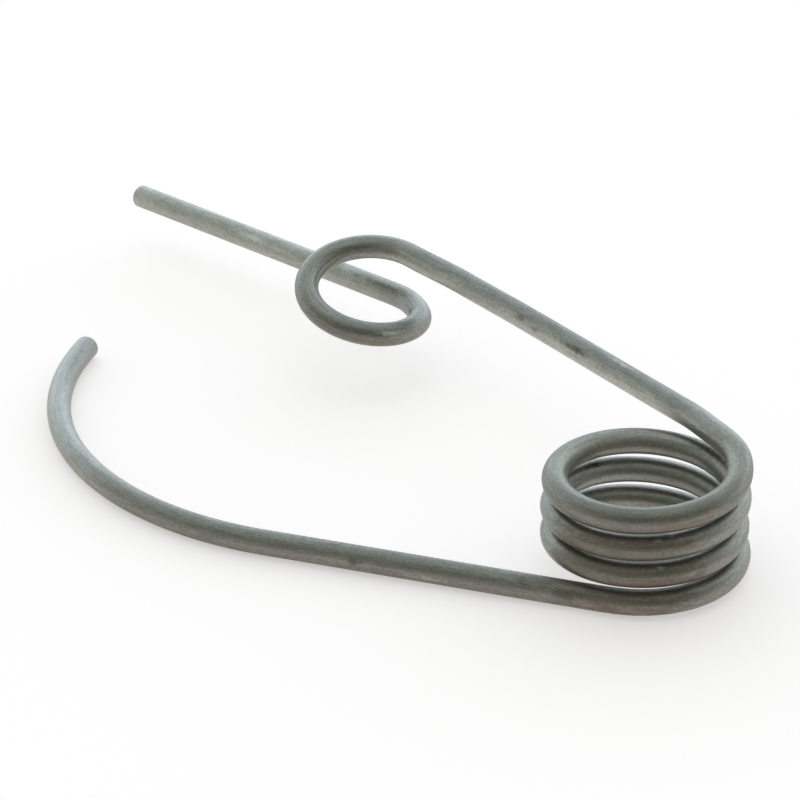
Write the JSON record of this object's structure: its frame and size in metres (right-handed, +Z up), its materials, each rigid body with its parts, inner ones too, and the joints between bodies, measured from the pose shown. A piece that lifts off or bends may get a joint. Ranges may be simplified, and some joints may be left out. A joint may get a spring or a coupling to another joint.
{
  "type": "lever spring",
  "caption": "One-piece round steel wire lever spring: an open coil, a lower arm with a wide open hook, and an upper arm with a small eye and a straight tail.",
  "frame": {"origin": "on the coil's axis, in the plane that the lower arm and its hook lie on", "axes": "+Z up along the coil's axis, from the lower arm to the upper arm; +X away from the arms, along the straight lower arm, which leaves the coil towards -X"},
  "size_m": [0.1107, 0.0806, 0.0168],
  "materials": {
    "spring_steel": "bare cold-drawn spring steel, satin grey with lengthwise drawing lines and a few brown rust specks"
  },
  "bodies": {
    "root": {"spring_wire": "spring_steel"}
  },
  "joints": []
}
